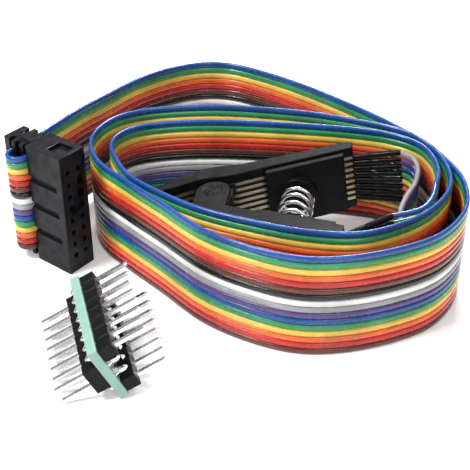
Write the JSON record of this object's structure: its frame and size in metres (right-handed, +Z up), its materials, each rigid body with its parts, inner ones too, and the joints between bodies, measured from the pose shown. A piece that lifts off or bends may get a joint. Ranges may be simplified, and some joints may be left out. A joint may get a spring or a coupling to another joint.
{
  "type": "ic test clip",
  "caption": "Spring-loaded clip for a small-outline chip on its side in a coil of its rainbow ribbon cable, with a cable socket and a plug-in adapter board.",
  "frame": {"origin": "centre of the cable socket's lower end face, on the table", "axes": "+Z up from the table; +X roughly from the socket along the clip; -Y towards the viewer"},
  "size_m": [0.0838, 0.0864, 0.0249],
  "materials": {
    "jaw_plastic": "satin",
    "pin_plastic": "satin",
    "spring_steel": "bright",
    "contact_metal": "plated",
    "sleeve_plastic": "satin",
    "front_lead_pvc": "gloss",
    "rear_lead_pvc": "gloss",
    "ribbon_pvc": "gloss",
    "socket_plastic": "satin",
    "board": "solder mask",
    "header_plastic": "satin",
    "pin_metal": "tinned",
    "solder": "bright"
  },
  "bodies": {
    "base": {"front_jaw": "jaw_plastic", "pivot_pin": "pin_plastic", "coil_spring": "spring_steel", "front_retainer": "jaw_plastic", "front_contacts": "contact_metal", "front_sleeves": "sleeve_plastic", "front_leads": "front_lead_pvc", "rear_leads": "rear_lead_pvc", "ribbon_cable": "ribbon_pvc", "ribbon_first_wire": "ribbon_pvc", "socket_body": "socket_plastic", "socket_cover": "socket_plastic", "strain_relief": "socket_plastic", "socket_contacts": "contact_metal"},
    "moving_jaw": {"rear_jaw": "jaw_plastic", "rear_retainer": "jaw_plastic", "rear_contacts": "contact_metal", "rear_sleeves": "sleeve_plastic"},
    "adapter": {"adapter_board": "board", "socket_header": "header_plastic", "socket_header_pins": "pin_metal", "row_header_a": "header_plastic", "row_header_b": "header_plastic", "row_pins_a": "pin_metal", "row_pins_b": "pin_metal", "socket_header_solder": "solder", "row_solder": "solder"}
  },
  "joints": [
    {"name": "jaw_hinge", "type": "hinge", "parent": "base", "child": "moving_jaw", "pos_m": [0.0315, -0.0014, 0.00863], "axis": [0.1378, -0.0194, -0.9903], "range_deg": [0, 26], "stiffness_Nm_per_rad": 0.1, "springref_deg": -34.38, "deforming": ["coil_spring", "rear_leads"]},
    {"name": "adapter_lift", "type": "slide", "parent": "base", "child": "adapter", "axis": [0, 0, 1], "range_m": [0, 0.06]}
  ]
}
